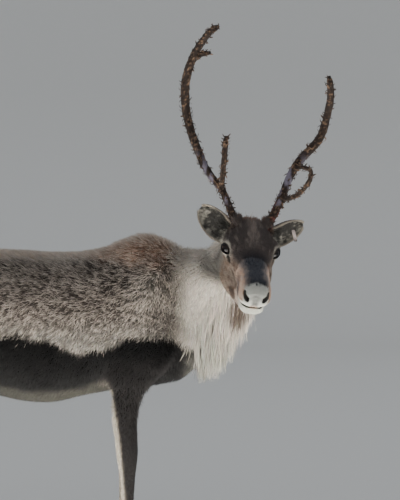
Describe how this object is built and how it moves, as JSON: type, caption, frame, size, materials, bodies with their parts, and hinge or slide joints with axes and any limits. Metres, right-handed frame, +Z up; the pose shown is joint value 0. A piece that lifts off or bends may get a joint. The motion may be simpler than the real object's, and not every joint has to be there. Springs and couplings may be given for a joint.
{
  "type": "animal figure",
  "caption": "Standing reindeer with branched velvet antlers, its head turned to its right, as a still life-size museum model.",
  "frame": {"origin": "on the ground, midway along and across the animal's overall box", "axes": "+X the way the body faces, +Y to the animal's left, +Z up"},
  "size_m": [1.5722, 0.6448, 1.6548],
  "materials": {
    "coat": "dense grey-brown coat hair",
    "pale_coat": "long cream-white hair",
    "face_coat": "short dark brown hair",
    "leg_coat": "short blackish-brown hair",
    "velvet": "dark brown tattered velvet",
    "hoof": "dark horn, satin",
    "eye": "nearly black, wet gloss",
    "tag": "pale pinkish grey, blank"
  },
  "bodies": {
    "root": {"leg_fore_right_upper": "leg_coat", "leg_fore_right_lower": "leg_coat", "leg_fore_left_upper": "leg_coat", "leg_fore_left_lower": "leg_coat", "leg_hind_right_upper": "leg_coat", "leg_hind_right_lower": "leg_coat", "leg_hind_left_upper": "leg_coat", "leg_hind_left_lower": "leg_coat", "head": "face_coat", "trunk": "coat", "neck": "pale_coat", "eye_right": "eye", "eye_left": "eye", "antler_right_lower_beam": "velvet", "antler_right_upper_beam": "velvet", "antler_right_brow_tine": "velvet", "antler_right_top_tine": "velvet", "antler_left_lower_beam": "velvet", "antler_left_upper_beam": "velvet", "antler_left_brow_tine": "velvet", "ear_right": "pale_coat", "ear_left": "pale_coat", "ear_tag": "tag", "hoof_fore_right_right": "hoof", "dewclaw_fore_right_right": "hoof", "hoof_fore_right_left": "hoof", "dewclaw_fore_right_left": "hoof", "hoof_fore_left_right": "hoof", "dewclaw_fore_left_right": "hoof", "hoof_fore_left_left": "hoof", "dewclaw_fore_left_left": "hoof", "hoof_hind_right_right": "hoof", "dewclaw_hind_right_right": "hoof", "hoof_hind_right_left": "hoof", "dewclaw_hind_right_left": "hoof", "hoof_hind_left_right": "hoof", "dewclaw_hind_left_right": "hoof", "hoof_hind_left_left": "hoof", "dewclaw_hind_left_left": "hoof", "tail": "pale_coat"}
  },
  "joints": []
}
